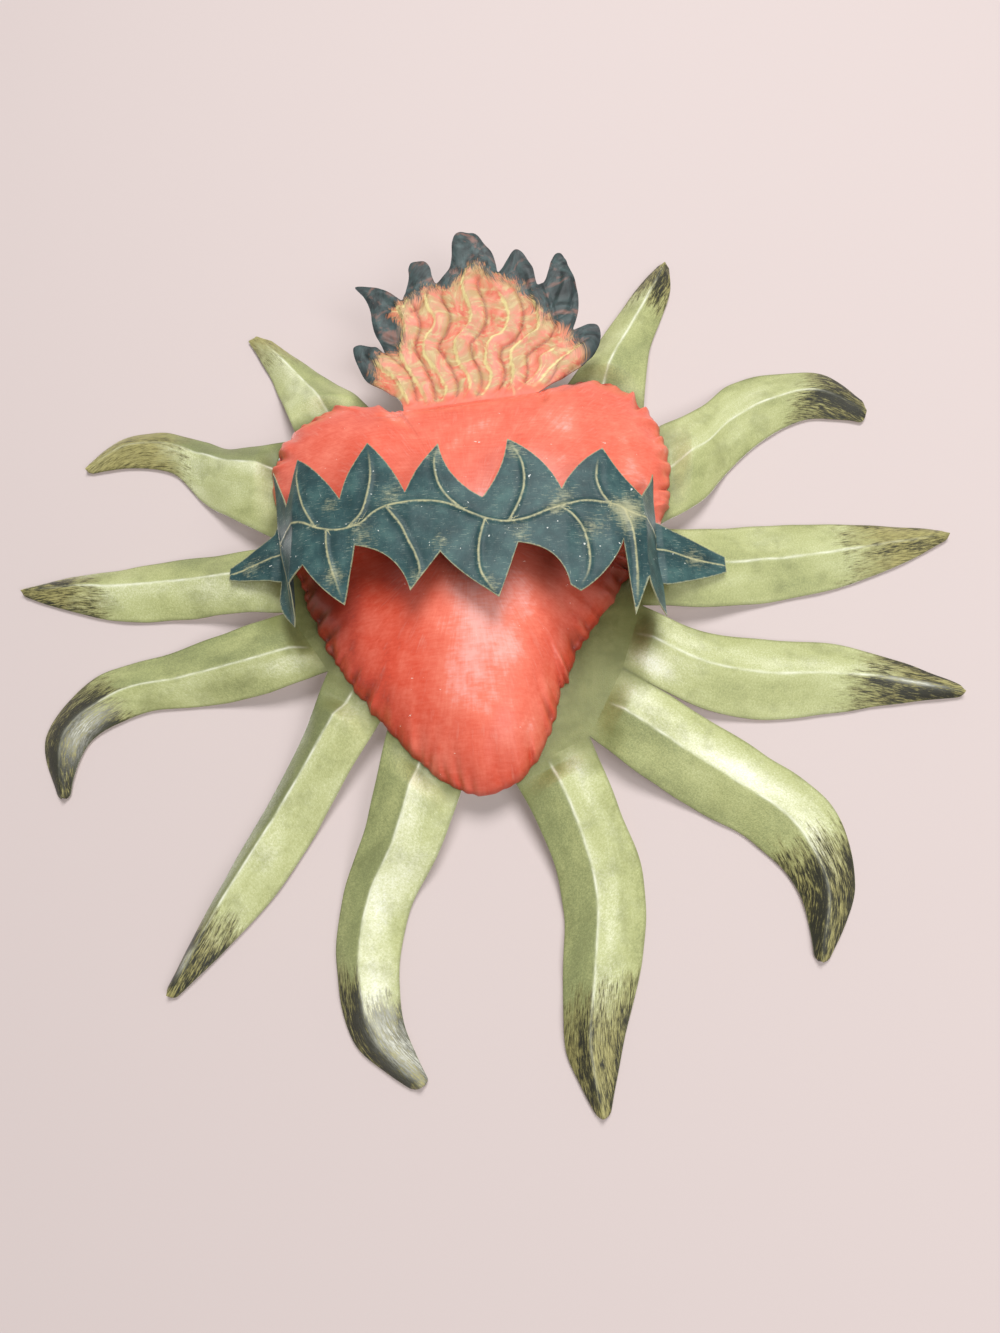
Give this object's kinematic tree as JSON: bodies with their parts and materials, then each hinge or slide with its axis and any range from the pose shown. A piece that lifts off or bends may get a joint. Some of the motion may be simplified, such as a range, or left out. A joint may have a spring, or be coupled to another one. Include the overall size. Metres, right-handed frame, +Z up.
{
  "type": "sacred heart wall decor",
  "caption": "Domed sheet-tin heart with a leafy crown of thorns and a flame above it, on a sunburst of curling ridged rays, hung by a wire ring at the back.",
  "frame": {"origin": "on the wall, at the nail that carries the hanging ring", "axes": "+Z up as the piece hangs, +X to the viewer's right, -Y out of the wall towards the viewer"},
  "size_m": [0.5265, 0.069, 0.4925],
  "materials": {
    "ray_paint": "satin yellow-green paint with dark dry-brushed tips",
    "heart_paint": "satin coral red paint, brushed",
    "flame_paint": "satin orange paint with yellow strokes and charcoal tips",
    "crown_paint": "satin dark teal paint, rubbed cream on its raised edges",
    "solder": "dull soft solder",
    "bare_tin": "bare tinned sheet",
    "wire": "galvanised wire"
  },
  "bodies": {
    "wall_piece": {"centre_plate": "ray_paint", "ray_top_left": "ray_paint", "ray_upper_left": "ray_paint", "ray_left": "ray_paint", "ray_lower_left": "ray_paint", "ray_bottom_left_outer": "ray_paint", "ray_bottom_left": "ray_paint", "ray_bottom_right": "ray_paint", "ray_bottom_right_outer": "ray_paint", "ray_lower_right": "ray_paint", "ray_right": "ray_paint", "ray_upper_right": "ray_paint", "ray_top_right": "ray_paint", "heart_shell": "heart_paint", "flame": "flame_paint", "crown_band": "crown_paint", "heart_solder": "solder", "crown_solder": "solder", "hanger_strap": "bare_tin", "strap_solder": "solder"},
    "ring": {"hanger_ring": "wire"}
  },
  "joints": [
    {"name": "ring_swing", "type": "hinge", "parent": "wall_piece", "child": "ring", "pos_m": [0, -0.0112, -0.01025], "axis": [-1, 0, 0], "range_deg": [-5, 180]}
  ]
}
